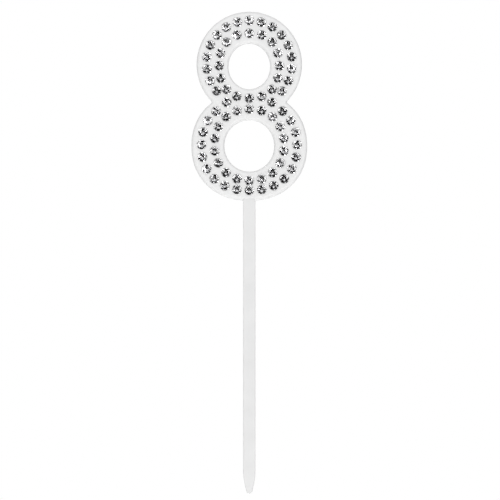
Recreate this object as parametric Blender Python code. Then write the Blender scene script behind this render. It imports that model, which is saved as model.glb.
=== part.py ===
"""A figure-eight number pick for a birthday cake, set with two rows of round stones on each loop.

A flat plastic number plate with rounded edges stands on a flat stick with a tapered point. The stick's
tongue is glued into a slot in the plate's lower edge, and 72 foil-backed stones are glued into recesses
in the plate's front face. The outer rows' stones are single. The inner rows' stones are set in pairs
that share one bead of glue, laid in a groove between the two recesses.

Frame: metres, +Z up along the stick, +X to the right seen from the front, and the front faces -Y. The
origin is on the stick's axis at the level of the cake's surface, in the middle of the stick's thickness.
"""

import math
from collections import namedtuple

import bmesh
import bpy
import numpy as np
from mathutils import Vector

MM = 0.001

# A closed curve in the X-Z plane, centred on X = 0. A squareness of 2 is an ellipse, and more is squarer.
Loop = namedtuple("Loop", "centre_z half_width half_height squareness")

# Number plate
UPPER_OUTLINE = Loop(70.25 * MM, 14.75 * MM, 14.75 * MM, 2.0)
LOWER_OUTLINE = Loop(47.35 * MM, 16.2 * MM, 15.3 * MM, 2.16)
UPPER_HOLE = Loop(69.7 * MM, 5.85 * MM, 6.4 * MM, 2.0)
LOWER_HOLE = Loop(47.42 * MM, 7.0 * MM, 7.22 * MM, 2.0)
PLATE_THICKNESS = 3.0 * MM
PLATE_EDGE_RADIUS = 1.0 * MM
OUTLINE_SEGMENTS = 44
HOLE_SEGMENTS = 32

# Stick
INSERT_DEPTH = 50.0 * MM
STICK_WIDTH = 3.45 * MM
STICK_THICKNESS = 2.9 * MM
STICK_EDGE_RADIUS = 0.3 * MM
TIP_RADIUS = 0.9 * MM
TIP_TAPER = math.radians(13)
TIP_SEGMENTS = 6
TONGUE_WIDTH = 2.7 * MM
TONGUE_THICKNESS = 1.0 * MM
TONGUE_LENGTH = 5.0 * MM
TONGUE_OFFSET_Y = 0.55 * MM

# Glue film between two pieces
GLUE_GAP = 0.1 * MM

# Stones
STONE_RADIUS = 1.3 * MM
TABLE_RADIUS = 0.75 * MM
CULET_RADIUS = 0.25 * MM
CROWN_HEIGHT = 0.5 * MM
GIRDLE_HEIGHT = 0.08 * MM
PAVILION_DEPTH = 1.1 * MM
GIRDLE_ABOVE_FACE = 0.15 * MM
STONE_SIDES = 10

# Glue bead that joins the two stones of a pair
BEAD_WIDTH = 0.8 * MM
BEAD_FRONT_BELOW_FACE = 0.05 * MM
BEAD_BACK_BELOW_FACE = 0.65 * MM

# Rows of stones: the curve that their centres lie on, how many there are, and their spacing along it
UPPER_OUTER_ROW = Loop(70.55 * MM, 11.98 * MM, 11.98 * MM, 2.0)
UPPER_INNER_ROW = Loop(69.83 * MM, 8.42 * MM, 9.11 * MM, 2.33)
LOWER_INNER_ROW = Loop(47.72 * MM, 9.77 * MM, 10.04 * MM, 2.16)
LOWER_OUTER_ROW = Loop(47.44 * MM, 13.38 * MM, 12.5 * MM, 2.25)
UPPER_OUTER_COUNT = 17
UPPER_OUTER_PITCH = 3.408 * MM
UPPER_INNER_COUNT = 16
LOWER_INNER_COUNT = 18
LOWER_OUTER_COUNT = 19
LOWER_OUTER_PITCH = 3.517 * MM
WAIST_STONE_X = 6.3 * MM
WAIST_STONE_Z = 59.6 * MM

TOP = math.radians(90)
BOTTOM = math.radians(-90)
EDGE_SEGMENTS = 3
WALK_STEPS = 2001
CUT_CLEARANCE = 0.5 * MM
BISECTION_STEPS = 50
SMOOTH_ANGLE = math.radians(35)

PLATE_BACK_Y = STICK_THICKNESS / 2
PLATE_FRONT_Y = PLATE_BACK_Y - PLATE_THICKNESS
PLATE_BOTTOM_Z = LOWER_OUTLINE.centre_z - LOWER_OUTLINE.half_height


# Curves in the X-Z plane, as (x, z) points


def loop_point(loop, angle):
    """The point of a loop in the direction of angle from its centre."""
    across = abs(math.cos(angle) / loop.half_width) ** loop.squareness
    up = abs(math.sin(angle) / loop.half_height) ** loop.squareness
    radius = (across + up) ** (-1 / loop.squareness)
    return radius * math.cos(angle), loop.centre_z + radius * math.sin(angle)


def is_inside(loop, point):
    across = abs(point[0] / loop.half_width) ** loop.squareness
    up = abs((point[1] - loop.centre_z) / loop.half_height) ** loop.squareness
    return across + up < 1


def loop_arc(loop, start, end, segments):
    """Points from the angle start to the angle end, both included."""
    return [loop_point(loop, angle) for angle in np.linspace(start, end, segments + 1)]


def waist_angle():
    """The angle on the upper outline at which it crosses the lower one, on the right."""
    inside, outside = BOTTOM, 0.0
    for _ in range(BISECTION_STEPS):
        middle = (inside + outside) / 2
        if is_inside(LOWER_OUTLINE, loop_point(UPPER_OUTLINE, middle)):
            inside = middle
        else:
            outside = middle
    return outside


def eight_outline():
    """The figure's outer outline, anticlockwise: over the top from the right of the waist, then round the bottom."""
    upper = waist_angle()
    x, z = loop_point(UPPER_OUTLINE, upper)
    lower = math.atan2(z - LOWER_OUTLINE.centre_z, x)
    over_the_top = loop_arc(UPPER_OUTLINE, upper, math.pi - upper, OUTLINE_SEGMENTS)
    round_the_bottom = loop_arc(LOWER_OUTLINE, math.pi - lower, 2 * math.pi + lower, OUTLINE_SEGMENTS)
    return over_the_top + round_the_bottom[1:-1]


def hole_outline(hole):
    """A hole's outline, clockwise, so that the plate is on the same side of it as of the outer outline."""
    return loop_arc(hole, 0, -2 * math.pi, HOLE_SEGMENTS)[:-1]


def stick_outline():
    """The stick's outline below its tongue, anticlockwise from the top left, round the tip, to the top right."""
    half_width = STICK_WIDTH / 2
    tip_z = -INSERT_DEPTH
    arc_ends = math.pi / 2 - TIP_TAPER
    tip = [
        (TIP_RADIUS * math.sin(angle), tip_z + TIP_RADIUS * (1 - math.cos(angle)))
        for angle in np.linspace(-arc_ends, arc_ends, TIP_SEGMENTS + 1)
    ]
    shoulder_z = tip[-1][1] + (half_width - tip[-1][0]) / math.tan(TIP_TAPER)
    top_z = PLATE_BOTTOM_Z - GLUE_GAP
    left = [(-half_width, top_z), (-half_width, shoulder_z)]
    right = [(half_width, shoulder_z), (half_width, top_z)]
    return left + tip + right


def inset(points, distance):
    """An outline moved into its material, which lies on the left of its direction of travel."""
    moved = []
    for before, here, after in zip(points[-1:] + points[:-1], points, points[1:] + points[:1]):
        arriving = Vector((here[0] - before[0], here[1] - before[1])).normalized()
        leaving = Vector((after[0] - here[0], after[1] - here[1])).normalized()
        inward = Vector((-arriving.y, arriving.x)) + Vector((-leaving.y, leaving.x))
        inward /= 1 + arriving.dot(leaving)
        moved.append((here[0] + distance * inward.x, here[1] + distance * inward.y))
    return moved


def walk(loop, start_angle, distance):
    """The point at a distance along a loop, clockwise from its point at start_angle."""
    angles = start_angle - np.linspace(0, 2 * math.pi, WALK_STEPS)
    points = np.array([loop_point(loop, angle) for angle in angles])
    steps = np.linalg.norm(np.diff(points, axis=0), axis=1)
    travelled = np.concatenate([[0], np.cumsum(steps)])
    at = distance % travelled[-1]
    return float(np.interp(at, travelled, points[:, 0])), float(np.interp(at, travelled, points[:, 1]))


def loop_length(loop):
    points = np.array(loop_arc(loop, 0, 2 * math.pi, WALK_STEPS))
    return float(np.linalg.norm(np.diff(points, axis=0), axis=1).sum())


def open_row(loop, middle_angle, pitch, count):
    """Evenly spaced stone centres, clockwise, with the middle one at middle_angle."""
    first = -(count - 1) / 2
    return [walk(loop, middle_angle, (first + i) * pitch) for i in range(count)]


def closed_row(loop, count):
    """Evenly spaced stone centres all the way round, clockwise from the top."""
    pitch = loop_length(loop) / count
    return [walk(loop, TOP, i * pitch) for i in range(count)]


# Solids


def finished_mesh(name, bm, material=None):
    bmesh.ops.recalc_face_normals(bm, faces=bm.faces)
    mesh = bpy.data.meshes.new(name)
    bm.to_mesh(mesh)
    bm.free()
    if material:
        mesh.materials.append(material)
    return mesh


def mesh_object(name, bm, material=None):
    obj = bpy.data.objects.new(name, finished_mesh(name, bm, material))
    bpy.context.collection.objects.link(obj)
    return obj


def helper(obj):
    """Marks an object that only cuts or joins another one."""
    obj.hide_render = True
    obj.display_type = "WIRE"
    return obj


def boolean(obj, other, operation):
    modifier = obj.modifiers.new(f"{operation.lower()} {other.name}", "BOOLEAN")
    modifier.object = helper(other)
    modifier.operation = operation
    modifier.solver = "EXACT"


def shade_round(mesh):
    mesh.shade_smooth()
    mesh.set_sharp_from_angle(angle=SMOOTH_ANGLE)


def edge_profile(front_y, back_y, radius):
    """(inset, y) steps from the front face over the rounded edge to the back face."""
    quarter = [math.pi / 2 * i / EDGE_SEGMENTS for i in range(EDGE_SEGMENTS + 1)]
    front = [(radius * (1 - math.sin(a)), front_y + radius * (1 - math.cos(a))) for a in quarter]
    back = [(radius * (1 - math.cos(a)), back_y - radius * (1 - math.sin(a))) for a in quarter]
    return front + back


def rounded_slab(name, outlines, front_y, back_y, radius, material):
    """A flat piece with rounded edges. The first outline is its outside and the others are holes."""
    bm = bmesh.new()
    front_edges, back_edges = [], []
    for outline in outlines:
        rings = []
        for distance, y in edge_profile(front_y, back_y, radius):
            points = inset(outline, distance)
            rings.append([bm.verts.new((x, y, z)) for x, z in points])
        for ring, following in zip(rings, rings[1:]):
            bridge(bm, ring, following)
        front_edges += ring_edges(bm, rings[0])
        back_edges += ring_edges(bm, rings[-1])
    bmesh.ops.triangle_fill(bm, edges=front_edges, use_beauty=True)
    bmesh.ops.triangle_fill(bm, edges=back_edges, use_beauty=True)
    obj = mesh_object(name, bm, material)
    shade_round(obj.data)
    return obj


def bridge(bm, ring, following):
    """Faces between two rings of the same number of vertices."""
    count = len(ring)
    for i in range(count):
        j = (i + 1) % count
        bm.faces.new((ring[i], ring[j], following[j], following[i]))


def ring_edges(bm, ring):
    return [bm.edges.get((a, b)) for a, b in zip(ring, ring[1:] + ring[:1])]


def add_turned(bm, centre, profile):
    """Adds a closed solid of STONE_SIDES sides around an axis along Y, from (radius, y) steps of its profile."""
    x, z = centre
    rings = []
    for radius, y in profile:
        angles = [2 * math.pi * i / STONE_SIDES for i in range(STONE_SIDES)]
        rings.append([bm.verts.new((x + radius * math.cos(a), y, z + radius * math.sin(a))) for a in angles])
    for ring, following in zip(rings, rings[1:]):
        bridge(bm, ring, following)
    bm.faces.new(rings[0])
    bm.faces.new(rings[-1])


def add_box(bm, centre, size, angle=0.0):
    """Adds a box of size (along, through, across) around centre, turned by angle in the X-Z plane."""
    along = Vector((math.cos(angle), 0, math.sin(angle))) * size[0] / 2
    through = Vector((0, size[1] / 2, 0))
    across = Vector((-math.sin(angle), 0, math.cos(angle))) * size[2] / 2
    corners = [(-1, -1), (1, -1), (1, 1), (-1, 1)]
    front, back = (
        [bm.verts.new(Vector(centre) + i * along + j * across + side * through) for i, j in corners]
        for side in (-1, 1)
    )
    bridge(bm, front, back)
    bm.faces.new(front)
    bm.faces.new(back)


# Stones, their recesses and their glue beads


def stone_mesh(material):
    """A stone around its own Y axis, from its table to its blunt point, with the plate's front face at y = 0."""
    girdle_back_y = -GIRDLE_ABOVE_FACE
    girdle_front_y = girdle_back_y - GIRDLE_HEIGHT
    bm = bmesh.new()
    profile = [
        (TABLE_RADIUS, girdle_front_y - CROWN_HEIGHT),
        (STONE_RADIUS, girdle_front_y),
        (STONE_RADIUS, girdle_back_y),
        (CULET_RADIUS, girdle_back_y + PAVILION_DEPTH),
    ]
    add_turned(bm, (0, 0), profile)
    return finished_mesh("stone", bm, material)


def seat_profile():
    """The (radius, y) steps of the recess for a stone: parallel to its back, with room for the glue film."""
    narrowing = (STONE_RADIUS - CULET_RADIUS) / PAVILION_DEPTH
    glue_radius = GLUE_GAP * math.hypot(1, narrowing)
    mouth_radius = STONE_RADIUS - narrowing * GIRDLE_ABOVE_FACE + glue_radius
    depth = PAVILION_DEPTH - GIRDLE_ABOVE_FACE + GLUE_GAP
    return [
        (mouth_radius, PLATE_FRONT_Y - CUT_CLEARANCE),
        (mouth_radius, PLATE_FRONT_Y),
        (mouth_radius - narrowing * depth, PLATE_FRONT_Y + depth),
    ]


def add_bead(bm, first, second, glue, front_y):
    """A straight bead between two stones' axes, grown by glue on its back and its sides."""
    middle = ((first[0] + second[0]) / 2, (first[1] + second[1]) / 2)
    span = (second[0] - first[0], second[1] - first[1])
    back_y = PLATE_FRONT_Y + BEAD_BACK_BELOW_FACE + glue
    size = (math.hypot(*span), back_y - front_y, BEAD_WIDTH + 2 * glue)
    add_box(bm, (middle[0], (front_y + back_y) / 2, middle[1]), size, math.atan2(span[1], span[0]))


def stone(name, centre, mesh):
    obj = bpy.data.objects.new(name, mesh)
    obj.location = (centre[0], PLATE_FRONT_Y, centre[1])
    bpy.context.collection.objects.link(obj)
    return obj


def stone_pair(name, first, second, mesh):
    """Two neighbouring stones of an inner row, joined by their shared bead of glue."""
    pair = stone(name, first, mesh)
    boolean(pair, stone(f"{name}_second", second, mesh), "UNION")
    bm = bmesh.new()
    add_bead(bm, first, second, 0, PLATE_FRONT_Y + BEAD_FRONT_BELOW_FACE)
    boolean(pair, mesh_object(f"{name}_bead", bm, mesh.materials[0]), "UNION")
    return pair


def pairs_of(row):
    return list(zip(row[0::2], row[1::2]))


def single_stones(row_name, row, mesh):
    return [stone(f"stone_{row_name}_{i:02d}", centre, mesh) for i, centre in enumerate(row, 1)]


def paired_stones(row_name, row, mesh):
    return [
        stone_pair(f"stone_pair_{row_name}_{i:02d}", first, second, mesh)
        for i, (first, second) in enumerate(pairs_of(row), 1)
    ]


# Plate and stick


def number_plate(rows, inner_rows, material):
    outlines = [eight_outline(), hole_outline(UPPER_HOLE), hole_outline(LOWER_HOLE)]
    plate = rounded_slab(
        "number_plate", outlines, PLATE_FRONT_Y, PLATE_BACK_Y, PLATE_EDGE_RADIUS, material
    )
    seats, grooves = bmesh.new(), bmesh.new()
    for row in rows:
        for centre in row:
            add_turned(seats, centre, seat_profile())
    for row in inner_rows:
        for first, second in pairs_of(row):
            add_bead(grooves, first, second, GLUE_GAP, PLATE_FRONT_Y - CUT_CLEARANCE)
    boolean(plate, mesh_object("stone_seats_cutter", seats), "DIFFERENCE")
    boolean(plate, mesh_object("glue_grooves_cutter", grooves), "DIFFERENCE")
    boolean(plate, tongue("tongue_slot_cutter", GLUE_GAP), "DIFFERENCE")
    return plate


def tongue(name, glue):
    """The stick's tongue, grown by glue on every side, and reaching down past the plate's lower edge."""
    low, high = PLATE_BOTTOM_Z - CUT_CLEARANCE, PLATE_BOTTOM_Z + TONGUE_LENGTH + glue
    size = (TONGUE_WIDTH + 2 * glue, TONGUE_THICKNESS + 2 * glue, high - low)
    bm = bmesh.new()
    add_box(bm, (0, TONGUE_OFFSET_Y, (low + high) / 2), size)
    return mesh_object(name, bm)


def stick(material):
    body = rounded_slab(
        "stick", [stick_outline()], -STICK_THICKNESS / 2, STICK_THICKNESS / 2, STICK_EDGE_RADIUS, material
    )
    boolean(body, tongue("stick_tongue", 0), "UNION")
    return body


# Materials and assembly


def plain_material(name, colour, roughness, metallic):
    material = bpy.data.materials.new(name)
    material.use_nodes = True
    shader = material.node_tree.nodes["Principled BSDF"]
    shader.inputs["Base Color"].default_value = (*colour, 1)
    shader.inputs["Roughness"].default_value = roughness
    shader.inputs["Metallic"].default_value = metallic
    return material


def build():
    for obj in list(bpy.data.objects):
        bpy.data.objects.remove(obj)
    plastic = plain_material("white_plastic", (0.87, 0.87, 0.87), 0.25, 0)
    crystal = plain_material("foiled_crystal", (0.82, 0.83, 0.85), 0.05, 0.9)

    waist = [(-WAIST_STONE_X, WAIST_STONE_Z), (WAIST_STONE_X, WAIST_STONE_Z)]
    upper_outer = open_row(UPPER_OUTER_ROW, TOP, UPPER_OUTER_PITCH, UPPER_OUTER_COUNT)
    upper_outer = waist[:1] + upper_outer + waist[1:]
    lower_outer = open_row(LOWER_OUTER_ROW, BOTTOM, LOWER_OUTER_PITCH, LOWER_OUTER_COUNT)
    upper_inner = closed_row(UPPER_INNER_ROW, UPPER_INNER_COUNT)
    lower_inner = closed_row(LOWER_INNER_ROW, LOWER_INNER_COUNT)
    inner_rows = [upper_inner, lower_inner]

    pieces = [number_plate([upper_outer, lower_outer] + inner_rows, inner_rows, plastic), stick(plastic)]
    cut_stone = stone_mesh(crystal)
    pieces += single_stones("upper_outer", upper_outer, cut_stone)
    pieces += single_stones("lower_outer", lower_outer, cut_stone)
    pieces += paired_stones("upper_inner", upper_inner, cut_stone)
    pieces += paired_stones("lower_inner", lower_inner, cut_stone)

    assembly = bpy.data.objects.new("number_pick", None)
    bpy.context.collection.objects.link(assembly)
    for piece in pieces:
        piece.parent = assembly


build()
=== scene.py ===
"""The looks of the stone-set number eight on its stick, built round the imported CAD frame.

The plate and the stick are rebuilt as finely rounded meshes, and each of the 72 stones as a cut stone with
glass facets in front and a mirror foil behind. Everything is in metres, +Z up, and the front faces -Y.
"""

import math
import random
from collections import namedtuple

import bmesh
import bpy
import numpy as np
from mathutils import Matrix, Vector


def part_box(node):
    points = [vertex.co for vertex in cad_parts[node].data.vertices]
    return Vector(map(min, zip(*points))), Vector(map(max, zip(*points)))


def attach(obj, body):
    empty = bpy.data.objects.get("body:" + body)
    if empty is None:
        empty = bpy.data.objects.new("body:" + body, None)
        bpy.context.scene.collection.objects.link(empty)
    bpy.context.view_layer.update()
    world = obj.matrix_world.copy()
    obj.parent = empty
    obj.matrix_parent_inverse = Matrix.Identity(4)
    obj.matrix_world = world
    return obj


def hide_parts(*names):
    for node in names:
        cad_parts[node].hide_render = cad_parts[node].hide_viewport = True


MM = 0.001

# A closed curve in the X-Z plane, centred on X = 0. A squareness of 2 is an ellipse, and more is squarer.
Loop = namedtuple("Loop", "centre_z half_width half_height squareness")

# Number plate
UPPER_OUTLINE = Loop(70.25 * MM, 14.75 * MM, 14.75 * MM, 2.0)
LOWER_OUTLINE = Loop(47.35 * MM, 16.2 * MM, 15.3 * MM, 2.16)
UPPER_HOLE = Loop(69.7 * MM, 5.85 * MM, 6.4 * MM, 2.0)
LOWER_HOLE = Loop(47.42 * MM, 7.0 * MM, 7.22 * MM, 2.0)
PLATE_EDGE_RADIUS = 1.0 * MM
WAIST_BLEND = 0.7 * MM
WAIST_SEGMENTS = 8
OUTLINE_SEGMENTS = 180
HOLE_SEGMENTS = 144
EDGE_SEGMENTS = 9
STRIP_WIDTH = 0.12 * MM
SHARP_ANGLE = math.radians(40)

# Recesses for the stones
SEAT_SEGMENTS = 36
SEAT_CLEARANCE = 0.03 * MM
SEAT_WALL = 0.3 * MM
SEAT_DEPTH = 1.2 * MM
SEAT_FLOOR_RADIUS = 0.5 * MM

# Stick
STICK_EDGE_RADIUS = 0.3 * MM
TIP_RADIUS = 0.9 * MM
TIP_TAPER = math.radians(13)
SHOULDER_BLEND = 2.2 * MM
TIP_SEGMENTS = 16
SHOULDER_SEGMENTS = 10
ROOT_OVERLAP = 0.8 * MM

# Cut of the stones: flat facets ground on a round blank, in front of and behind the girdle. Shares are of the
# blank's radius.
TABLE_SHARE = 0.48
CROWN_ANGLE = math.radians(38.5)
UPPER_GIRDLE_ANGLE = math.radians(53)
PAVILION_ANGLE = math.radians(38.5)
LOWER_GIRDLE_ANGLE = math.radians(44.2)
CULET_SHARE = 0.04
GIRDLE_HEIGHT = 0.09 * MM
TABLE_SETBACK = 0.1 * MM
FACETS = 6
GIRDLE_SEGMENTS = 48
USUAL_TILT = math.radians(3.5)
LARGEST_TILT = math.radians(9)
STONE_SEED = 8

# Plastic, whose whiteness and roughness vary with a cloud pattern
# The plate is whiter than the stick partly because it is thicker, and partly as painted light that stands in
# for the light the stones throw onto it.
PLATE_WHITENESS_WITH_STONE_LIGHT = 0.95
STICK_WHITENESS = 0.9
CLOUD_DARKENING = 0.04
CLOUDS_PER_METRE = 180
CLOUD_DETAIL = 3
CLOUD_START = 0.3
CLOUD_END = 0.7
PLASTIC_IOR = 1.49
SMOOTHEST = 0.18
ROUGHEST = 0.3
SCATTER = 0.2
SCATTER_LENGTH = 1.2 * MM

# Stones' materials
GLASS_IOR = 1.54
FOIL_COLOUR = (0.93, 0.93, 0.94, 1)
FOIL_ROUGHNESS = 0.03

# Floor
FLOOR_HALF_WIDTH = 4.0
FLOOR_GAP = 0.1 * MM

# Camera, level and straight in front. VIEW_SIZE is the width that it sees at the front of the plate.
VIEW_SIZE = 140.0 * MM
VIEW_CENTRE = Vector((0.2 * MM, 0, 18.24 * MM))
CAMERA_DISTANCE = 0.8
SENSOR_WIDTH = 36.0

# Studio, as brightness by direction. Elevation is measured from the horizon, and azimuth either way from the
# middle of the dark camera side, which is a little aside of the camera.
CAMERA_SIDE = 0.0
CAMERA_SIDE_MIDDLE = math.radians(-12)
OVERHEAD = 1.1
OVERHEAD_EDGE = math.radians(14)
OVERHEAD_TOP = math.radians(50)
BELOW = 0.25
BELOW_EDGE = math.radians(-20)
SIDE_PANELS = 11.8
SIDE_EDGE = math.radians(44)
SIDE_END = math.radians(110)
SIDE_FOOT_EDGE = math.radians(-12)
SIDE_TOP = math.radians(60)
BACKDROP = 0.3
EDGE_SOFTNESS = math.radians(10.6)

# What the plastic mirrors
GLOSS_LIMIT = 0.65
GLOSS_BELOW = 2.2

# Soft light on the plastic. Edges and spreads are along the Y part of a direction, from -1 to 1.
SOFT_FRONT = 1.0
SOFT_SIDE = 0.05
SOFT_SIDE_EDGE = -0.5
SOFT_SIDE_SPREAD = 0.5
SOFT_BACK = 1.0
SOFT_BACK_EDGE = 0.7
SOFT_BACK_SPREAD = 0.25
SOFT_ABOVE = 0.55
SOFT_BELOW = 0.6

BISECTION_STEPS = 50
FLATNESS = 0.01 * MM
ROOT_BODY = "root"

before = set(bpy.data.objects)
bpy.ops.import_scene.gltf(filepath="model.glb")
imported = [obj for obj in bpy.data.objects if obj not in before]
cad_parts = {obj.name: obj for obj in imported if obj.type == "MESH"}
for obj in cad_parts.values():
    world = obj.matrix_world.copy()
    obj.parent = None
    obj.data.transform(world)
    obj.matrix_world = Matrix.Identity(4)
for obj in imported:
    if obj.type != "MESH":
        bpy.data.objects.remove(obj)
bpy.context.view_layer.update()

PLATE_LOW, PLATE_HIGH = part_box("number_plate")
STICK_LOW, STICK_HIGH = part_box("stick")
FRONT_Y = PLATE_LOW.y
BACK_Y = PLATE_HIGH.y


# Curves in the X-Z plane, as (x, z) points


def loop_point(loop, angle):
    """The point of a loop in the direction of angle from its centre."""
    across = abs(math.cos(angle) / loop.half_width) ** loop.squareness
    up = abs(math.sin(angle) / loop.half_height) ** loop.squareness
    radius = (across + up) ** (-1 / loop.squareness)
    return radius * math.cos(angle), loop.centre_z + radius * math.sin(angle)


def is_inside(loop, point):
    across = abs(point[0] / loop.half_width) ** loop.squareness
    up = abs((point[1] - loop.centre_z) / loop.half_height) ** loop.squareness
    return across + up < 1


def loop_arc(loop, start, end, segments):
    """Points from the angle start to the angle end, both included."""
    return [loop_point(loop, angle) for angle in np.linspace(start, end, segments + 1)]


def waist_angle():
    """The angle on the upper outline at which it crosses the lower one, on the right."""
    inside, outside = -math.pi / 2, 0.0
    for _ in range(BISECTION_STEPS):
        middle = (inside + outside) / 2
        if is_inside(LOWER_OUTLINE, loop_point(UPPER_OUTLINE, middle)):
            inside = middle
        else:
            outside = middle
    return outside


def blend(start, corner, end, segments):
    """A smooth curve from start to end that leans towards corner, without its two ends."""
    points = []
    for t in np.linspace(0, 1, segments + 1)[1:-1]:
        near, middle, far = (1 - t) ** 2, 2 * t * (1 - t), t * t
        points.append(tuple(near * a + middle * b + far * c for a, b, c in zip(start, corner, end)))
    return points


def eight_outline():
    """The figure's outer outline, anticlockwise, with its two concave corners slightly filled."""
    upper = waist_angle()
    corner = loop_point(UPPER_OUTLINE, upper)
    lower = math.atan2(corner[1] - LOWER_OUTLINE.centre_z, corner[0])
    mirrored = (-corner[0], corner[1])
    upper_start = upper + WAIST_BLEND / UPPER_OUTLINE.half_height
    lower_end = lower - WAIST_BLEND / LOWER_OUTLINE.half_height
    over = loop_arc(UPPER_OUTLINE, upper_start, math.pi - upper_start, OUTLINE_SEGMENTS)
    under = loop_arc(LOWER_OUTLINE, math.pi - lower_end, 2 * math.pi + lower_end, OUTLINE_SEGMENTS)
    left = blend(over[-1], mirrored, under[0], WAIST_SEGMENTS)
    right = blend(under[-1], corner, over[0], WAIST_SEGMENTS)
    return over + left + under + right


def hole_outline(hole):
    """A hole's outline, clockwise, so that the plate is on the same side of it as of the outer outline."""
    return loop_arc(hole, 0, -2 * math.pi, HOLE_SEGMENTS)[:-1]


def circle(centre, radius, segments):
    """A circle's points, clockwise."""
    angles = [-2 * math.pi * i / segments for i in range(segments)]
    return [(centre[0] + radius * math.cos(a), centre[1] + radius * math.sin(a)) for a in angles]


def stick_outline():
    """The stick's outline, anticlockwise: down its left side, round the tip, and up to the plate."""
    half_width = STICK_HIGH.x
    tip_z = STICK_LOW.z
    arc_ends = math.pi / 2 - TIP_TAPER
    tip = [
        (TIP_RADIUS * math.sin(angle), tip_z + TIP_RADIUS * (1 - math.cos(angle)))
        for angle in np.linspace(-arc_ends, arc_ends, TIP_SEGMENTS + 1)
    ]
    shoulder_z = tip[-1][1] + (half_width - tip[-1][0]) / math.tan(TIP_TAPER)
    shoulder = (half_width, shoulder_z)
    below = (
        half_width - SHOULDER_BLEND * math.sin(TIP_TAPER),
        shoulder_z - SHOULDER_BLEND * math.cos(TIP_TAPER),
    )
    above = (half_width, shoulder_z + SHOULDER_BLEND)
    top = (half_width, PLATE_LOW.z + ROOT_OVERLAP)
    right = [below] + blend(below, shoulder, above, SHOULDER_SEGMENTS) + [above, top]
    left = [(-x, z) for x, z in reversed(right)]
    return left + tip + right


def inset(points, distance):
    """An outline moved into its material, which lies on the left of its direction of travel."""
    moved = []
    for before, here, after in zip(points[-1:] + points[:-1], points, points[1:] + points[:1]):
        arriving = Vector((here[0] - before[0], here[1] - before[1])).normalized()
        leaving = Vector((after[0] - here[0], after[1] - here[1])).normalized()
        inward = Vector((-arriving.y, arriving.x)) + Vector((-leaving.y, leaving.x))
        inward /= 1 + arriving.dot(leaving)
        moved.append((here[0] + distance * inward.x, here[1] + distance * inward.y))
    return moved


# Meshes


def new_object(name, bm, materials):
    """Makes an object of a bmesh, which is freed."""
    mesh = bpy.data.meshes.new(name)
    bm.to_mesh(mesh)
    bm.free()
    for material in materials:
        mesh.materials.append(material)
    return linked(name, mesh)


def linked(name, mesh):
    obj = bpy.data.objects.new(name, mesh)
    bpy.context.scene.collection.objects.link(obj)
    return obj


def add_ring(bm, points, y):
    return [bm.verts.new((x, y, z)) for x, z in points]


def bridge(bm, ring, following):
    """Faces between two rings of the same number of vertices."""
    count = len(ring)
    for i in range(count):
        j = (i + 1) % count
        bm.faces.new((ring[i], ring[j], following[j], following[i]))


def ring_edges(bm, ring):
    return [bm.edges.get((a, b)) or bm.edges.new((a, b)) for a, b in zip(ring, ring[1:] + ring[:1])]


def edge_profile(front_y, back_y, radius):
    """(inset, y) steps from a flat strip of the front, over the rounded edge, to a flat strip of the back."""
    quarter = [math.pi / 2 * i / EDGE_SEGMENTS for i in range(EDGE_SEGMENTS + 1)]
    front = [(radius * (1 - math.sin(a)), front_y + radius * (1 - math.cos(a))) for a in quarter]
    back = [(radius * (1 - math.cos(a)), back_y - radius * (1 - math.sin(a))) for a in quarter]
    strip = radius + STRIP_WIDTH
    return [(strip, front_y)] + front + back + [(strip, back_y)]


def add_rounded_edge(bm, outline, front_y, back_y, radius):
    """Adds the strip of faces round an outline and returns the edges where the front and back faces begin."""
    rings = []
    for distance, y in edge_profile(front_y, back_y, radius):
        rings.append(add_ring(bm, inset(outline, distance), y))
    for ring, following in zip(rings, rings[1:]):
        bridge(bm, ring, following)
    return ring_edges(bm, rings[0]), ring_edges(bm, rings[-1])


def add_seat(bm, centre, radius):
    """Adds a recess with a tapered bottom behind the front face and returns the edges of its mouth."""
    mouth = add_ring(bm, circle(centre, radius, SEAT_SEGMENTS), FRONT_Y)
    wall = add_ring(bm, circle(centre, radius, SEAT_SEGMENTS), FRONT_Y + SEAT_WALL)
    floor = add_ring(bm, circle(centre, SEAT_FLOOR_RADIUS, SEAT_SEGMENTS), FRONT_Y + SEAT_DEPTH)
    bridge(bm, mouth, wall)
    bridge(bm, wall, floor)
    bm.faces.new(floor)
    return ring_edges(bm, mouth)


def fill(bm, edges):
    """Fills the flat region between loops of edges with triangles."""
    bmesh.ops.triangle_fill(bm, edges=edges, use_beauty=True)


def finish_smooth(bm, name, material):
    """Makes an object that is shaded smooth, except across edges sharper than SHARP_ANGLE."""
    bmesh.ops.recalc_face_normals(bm, faces=bm.faces)
    obj = new_object(name, bm, [material])
    obj.data.shade_smooth()
    obj.data.set_sharp_from_angle(angle=SHARP_ANGLE)
    return obj


def build_plate(centres, stone_radius, material):
    bm = bmesh.new()
    front_edges, back_edges = [], []
    for outline in (eight_outline(), hole_outline(UPPER_HOLE), hole_outline(LOWER_HOLE)):
        front, back = add_rounded_edge(bm, outline, FRONT_Y, BACK_Y, PLATE_EDGE_RADIUS)
        front_edges += front
        back_edges += back
    for centre in centres:
        front_edges += add_seat(bm, centre, stone_radius + SEAT_CLEARANCE)
    fill(bm, front_edges)
    fill(bm, back_edges)
    return finish_smooth(bm, "plate_body", material)


def build_stick(material):
    bm = bmesh.new()
    front, back = add_rounded_edge(bm, stick_outline(), STICK_LOW.y, STICK_HIGH.y, STICK_EDGE_RADIUS)
    fill(bm, front)
    fill(bm, back)
    return finish_smooth(bm, "stick_body", material)


# Stones


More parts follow.
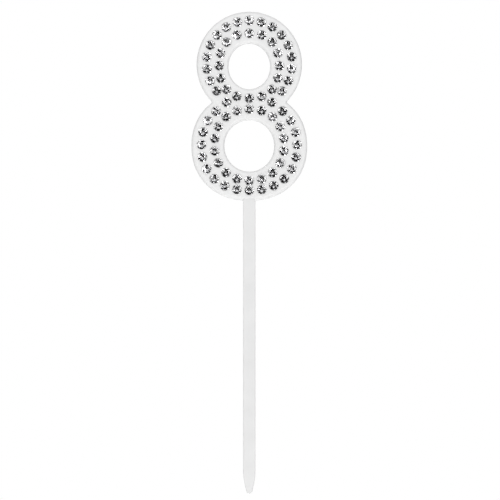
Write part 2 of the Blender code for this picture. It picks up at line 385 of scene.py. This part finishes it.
def stone_centres(node):
    """The (x, z) centres of the one or two stones of a CAD node, from the vertices of their front tables."""
    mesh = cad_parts[node].data
    points = np.array([v.co[:] for v in mesh.vertices])
    tables = points[points[:, 1] < points[:, 1].min() + FLATNESS][:, [0, 2]]
    if "pair" not in node:
        return [tuple((tables.min(axis=0) + tables.max(axis=0)) / 2)]
    offsets = tables - tables.mean(axis=0)
    along = offsets @ np.linalg.svd(offsets, full_matrices=False)[2][0]
    halves = [tables[along < 0], tables[along > 0]]
    return [tuple((half.min(axis=0) + half.max(axis=0)) / 2) for half in halves]


def grind(bm, radius, angle, slope, front):
    """Grinds a facet that touches the girdle at angle, on the crown if front is true and otherwise behind."""
    side = -1 if front else 1
    outward = Vector((math.cos(angle), 0, math.sin(angle)))
    touching = outward * radius - Vector((0, GIRDLE_HEIGHT if front else 0, 0))
    normal = outward * math.sin(slope) + Vector((0, side * math.cos(slope), 0))
    everything = bm.verts[:] + bm.edges[:] + bm.faces[:]
    cut = bmesh.ops.bisect_plane(bm, geom=everything, plane_co=touching, plane_no=normal, clear_outer=True)
    edges = [item for item in cut["geom_cut"] if isinstance(item, bmesh.types.BMEdge)]
    for face in bmesh.ops.edgeloop_fill(bm, edges=edges)["faces"]:
        face.material_index = 0 if front else 1


def crown_height(radius):
    return radius * (1 - TABLE_SHARE) * math.tan(CROWN_ANGLE)


def cut_stone(radius):
    """A round stone facing -Y, with its girdle's back edge at y = 0.

    Its crown and girdle take material 0, and its back material 1.
    """
    pavilion_depth = radius * (1 - CULET_SHARE) * math.tan(PAVILION_ANGLE)
    front_y = -GIRDLE_HEIGHT - crown_height(radius)
    bm = bmesh.new()
    outline = circle((0, 0), radius, GIRDLE_SEGMENTS)
    front = add_ring(bm, outline, front_y)
    back = add_ring(bm, outline, pavilion_depth)
    bridge(bm, front, back)
    bm.faces.new(front)
    bm.faces.new(back).material_index = 1
    step = 2 * math.pi / FACETS
    for i in range(FACETS):
        crown_angle = step * i
        back_angle = step * (i + 0.5)
        grind(bm, radius, crown_angle, CROWN_ANGLE, True)
        grind(bm, radius, back_angle, PAVILION_ANGLE, False)
        for aside in (-step / 4, step / 4):
            grind(bm, radius, crown_angle + aside, UPPER_GIRDLE_ANGLE, True)
            grind(bm, radius, back_angle + aside, LOWER_GIRDLE_ANGLE, False)
    bmesh.ops.recalc_face_normals(bm, faces=bm.faces)
    return bm


def stone_placing(centre, girdle_y, chance):
    """Turned about its own axis and tilted a little, as stones are when they are set by hand."""
    turn = Matrix.Rotation(chance.uniform(0, 2 * math.pi), 4, "Y")
    direction = chance.uniform(0, 2 * math.pi)
    tilt_axis = Vector((math.cos(direction), 0, math.sin(direction)))
    tilt = Matrix.Rotation(min(abs(chance.gauss(0, USUAL_TILT)), LARGEST_TILT), 4, tilt_axis)
    return Matrix.Translation((centre[0], girdle_y, centre[1])) @ tilt @ turn


def build_stones(nodes, radius, front_y, materials):
    girdle_y = front_y + TABLE_SETBACK + crown_height(radius) + GIRDLE_HEIGHT
    chance = random.Random(STONE_SEED)
    for node in nodes:
        for i, centre in enumerate(stone_centres(node)):
            letter = "ab"[i] if "pair" in node else ""
            bm = cut_stone(radius)
            bm.transform(stone_placing(centre, girdle_y, chance))
            stone = new_object(f"cut_{node}{letter}", bm, materials)
            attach(stone, ROOT_BODY)
            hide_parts(node)


# Materials


def new_material(name):
    """A new material and its shader."""
    material = bpy.data.materials.new(name)
    material.use_nodes = True
    return material, material.node_tree.nodes["Principled BSDF"]


def milky_plastic(name, whiteness):
    """Glossy white plastic, slightly cloudy inside."""
    material, shader = new_material(name)
    tree = material.node_tree
    shader.inputs["IOR"].default_value = PLASTIC_IOR
    shader.inputs["Subsurface Weight"].default_value = SCATTER
    shader.inputs["Subsurface Radius"].default_value = (1, 1, 1)
    shader.inputs["Subsurface Scale"].default_value = SCATTER_LENGTH
    place = tree.nodes.new("ShaderNodeTexCoord")
    cloud = tree.nodes.new("ShaderNodeTexNoise")
    cloud.inputs["Scale"].default_value = CLOUDS_PER_METRE
    cloud.inputs["Detail"].default_value = CLOUD_DETAIL
    tree.links.new(place.outputs["Object"], cloud.inputs["Vector"])
    ramp = tree.nodes.new("ShaderNodeValToRGB")
    darker = whiteness - CLOUD_DARKENING
    start, end = ramp.color_ramp.elements
    start.position = CLOUD_START
    start.color = (darker, darker, darker, 1)
    end.position = CLOUD_END
    end.color = (whiteness, whiteness, whiteness, 1)
    tree.links.new(cloud.outputs["Fac"], ramp.inputs["Fac"])
    tree.links.new(ramp.outputs["Color"], shader.inputs["Base Color"])
    roughness = tree.nodes.new("ShaderNodeMapRange")
    roughness.inputs["To Min"].default_value = SMOOTHEST
    roughness.inputs["To Max"].default_value = ROUGHEST
    tree.links.new(cloud.outputs["Fac"], roughness.inputs["Value"])
    tree.links.new(roughness.outputs["Result"], shader.inputs["Roughness"])
    return material


def crown_glass():
    material, shader = new_material("crown_glass")
    shader.inputs["Base Color"].default_value = (1, 1, 1, 1)
    shader.inputs["Roughness"].default_value = 0
    shader.inputs["IOR"].default_value = GLASS_IOR
    shader.inputs["Transmission Weight"].default_value = 1
    return material


def silver_foil():
    material, shader = new_material("silver_foil")
    shader.inputs["Base Color"].default_value = FOIL_COLOUR
    shader.inputs["Metallic"].default_value = 1
    shader.inputs["Roughness"].default_value = FOIL_ROUGHNESS
    return material


# Stage


def build_floor():
    """A plain floor just under the tip, as white as the background, that only the camera sees."""
    mesh = bpy.data.meshes.new("floor")
    far = FLOOR_HALF_WIDTH
    z = STICK_LOW.z - FLOOR_GAP
    corners = [(-far, -far, z), (far, -far, z), (far, far, z), (-far, far, z)]
    mesh.from_pydata(corners, [], [(0, 1, 2, 3)])
    material, shader = new_material("pale_floor")
    shader.inputs["Base Color"].default_value = (0, 0, 0, 1)
    shader.inputs["Specular IOR Level"].default_value = 0
    shader.inputs["Emission Color"].default_value = (1, 1, 1, 1)
    shader.inputs["Emission Strength"].default_value = 1
    mesh.materials.append(material)
    floor = linked("floor", mesh)
    floor.visible_diffuse = False
    floor.visible_glossy = False
    floor.visible_transmission = False


def math_node(tree, operation, *values):
    """A Math node whose inputs are sockets or plain numbers."""
    node = tree.nodes.new("ShaderNodeMath")
    node.operation = operation
    for socket, value in zip(node.inputs, values):
        if isinstance(value, bpy.types.NodeSocket):
            tree.links.new(value, socket)
        else:
            socket.default_value = value
    return node.outputs["Value"]


def past_edge(tree, value, edge, softness):
    """0 below an edge and 1 above it, with a smooth rise over the softness on either side."""
    node = tree.nodes.new("ShaderNodeMapRange")
    node.interpolation_type = "SMOOTHSTEP"
    node.inputs["From Min"].default_value = edge - softness
    node.inputs["From Max"].default_value = edge + softness
    tree.links.new(value, node.inputs["Value"])
    return node.outputs["Result"]


def between(tree, factor, low, high):
    """Goes from low to high as the factor goes from 0 to 1."""
    rest = math_node(tree, "SUBTRACT", 1.0, factor)
    low_part = math_node(tree, "MULTIPLY", rest, low)
    high_part = math_node(tree, "MULTIPLY", factor, high)
    return math_node(tree, "ADD", low_part, high_part)


def studio_light(tree, x, y, z):
    """What the stones mirror: a dark camera side under a pale screen, between two bright panels."""

    def step_up(angle, edge, below, above):
        return between(tree, past_edge(tree, angle, edge, EDGE_SOFTNESS), below, above)

    elevation = math_node(tree, "ARCSINE", z)
    azimuth = math_node(tree, "ARCTAN2", x, math_node(tree, "MULTIPLY", y, -1.0))
    azimuth = math_node(tree, "ABSOLUTE", math_node(tree, "SUBTRACT", azimuth, CAMERA_SIDE_MIDDLE))
    front = step_up(elevation, BELOW_EDGE, BELOW, CAMERA_SIDE)
    front = step_up(elevation, OVERHEAD_EDGE, front, OVERHEAD)
    front = step_up(elevation, OVERHEAD_TOP, front, 0.0)
    side = step_up(elevation, SIDE_FOOT_EDGE, 0.0, SIDE_PANELS)
    side = step_up(elevation, SIDE_TOP, side, 0.0)
    side = step_up(azimuth, SIDE_END, side, BACKDROP)
    return step_up(azimuth, SIDE_EDGE, front, side)


def growing(tree, coordinate, rate):
    """A light that grows with a direction's coordinate at a rate, and is 0 where the product is negative."""
    return math_node(tree, "MAXIMUM", math_node(tree, "MULTIPLY", coordinate, rate), 0.0)


def soft_light(tree, y, z):
    """Soft light on the plastic, from the front, the back, above and below, and little from the sides."""
    level = between(tree, past_edge(tree, y, SOFT_SIDE_EDGE, SOFT_SIDE_SPREAD), SOFT_FRONT, SOFT_SIDE)
    level = between(tree, past_edge(tree, y, SOFT_BACK_EDGE, SOFT_BACK_SPREAD), level, SOFT_BACK)
    upright = math_node(tree, "ADD", growing(tree, z, SOFT_ABOVE), growing(tree, z, -SOFT_BELOW))
    return math_node(tree, "ADD", level, upright)


def gloss_light(tree, studio, z):
    """What the plastic mirrors: the studio with its panels dimmed, and the pale floor."""
    dimmed = math_node(tree, "MINIMUM", studio, GLOSS_LIMIT)
    return math_node(tree, "ADD", dimmed, growing(tree, z, -GLOSS_BELOW))


def build_world():
    """White to the camera, the studio to the clear stones, its dimmed form to gloss, soft light elsewhere."""
    world = bpy.data.worlds.new("studio")
    bpy.context.scene.world = world
    world.use_nodes = True
    # The light differs by kind of ray, which a sampling map of it can't follow.
    world.cycles.sampling_method = "NONE"
    tree = world.node_tree
    place = tree.nodes.new("ShaderNodeTexCoord")
    direction = tree.nodes.new("ShaderNodeSeparateXYZ")
    tree.links.new(place.outputs["Generated"], direction.inputs["Vector"])
    x, y, z = direction.outputs
    ray = tree.nodes.new("ShaderNodeLightPath")
    soft = soft_light(tree, y, z)
    studio = studio_light(tree, x, y, z)
    light = between(tree, ray.outputs["Is Glossy Ray"], soft, gloss_light(tree, studio, z))
    light = between(tree, ray.outputs["Is Singular Ray"], light, studio)
    light = between(tree, ray.outputs["Is Camera Ray"], light, 1.0)
    tree.links.new(light, tree.nodes["Background"].inputs["Strength"])
    tree.nodes["Background"].inputs["Color"].default_value = (1, 1, 1, 1)


def build_camera():
    data = bpy.data.cameras.new("camera")
    data.sensor_width = SENSOR_WIDTH
    data.lens = SENSOR_WIDTH * CAMERA_DISTANCE / VIEW_SIZE
    camera = bpy.data.objects.new("camera", data)
    camera.location = VIEW_CENTRE + Vector((0, FRONT_Y - CAMERA_DISTANCE, 0))
    camera.rotation_euler = (math.pi / 2, 0, 0)
    bpy.context.scene.collection.objects.link(camera)
    bpy.context.scene.camera = camera


# Assembly

stone_nodes = sorted(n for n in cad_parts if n.startswith("stone"))
single = next(n for n in stone_nodes if "pair" not in n)
single_low, single_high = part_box(single)
stone_radius = (single_high.x - single_low.x) / 2
centres = [centre for node in stone_nodes for centre in stone_centres(node)]

# The plate's plastic is a lighter copy of the stick's; the extra whiteness is partly painted light from the
# stones.
plate = build_plate(centres, stone_radius, milky_plastic("plate_plastic", PLATE_WHITENESS_WITH_STONE_LIGHT))
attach(plate, ROOT_BODY)
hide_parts("number_plate")

stick = build_stick(milky_plastic("stick_plastic", STICK_WHITENESS))
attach(stick, ROOT_BODY)
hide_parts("stick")

build_stones(stone_nodes, stone_radius, single_low.y, [crown_glass(), silver_foil()])

build_floor()
build_world()
build_camera()
bpy.context.scene.view_settings.view_transform = "Standard"
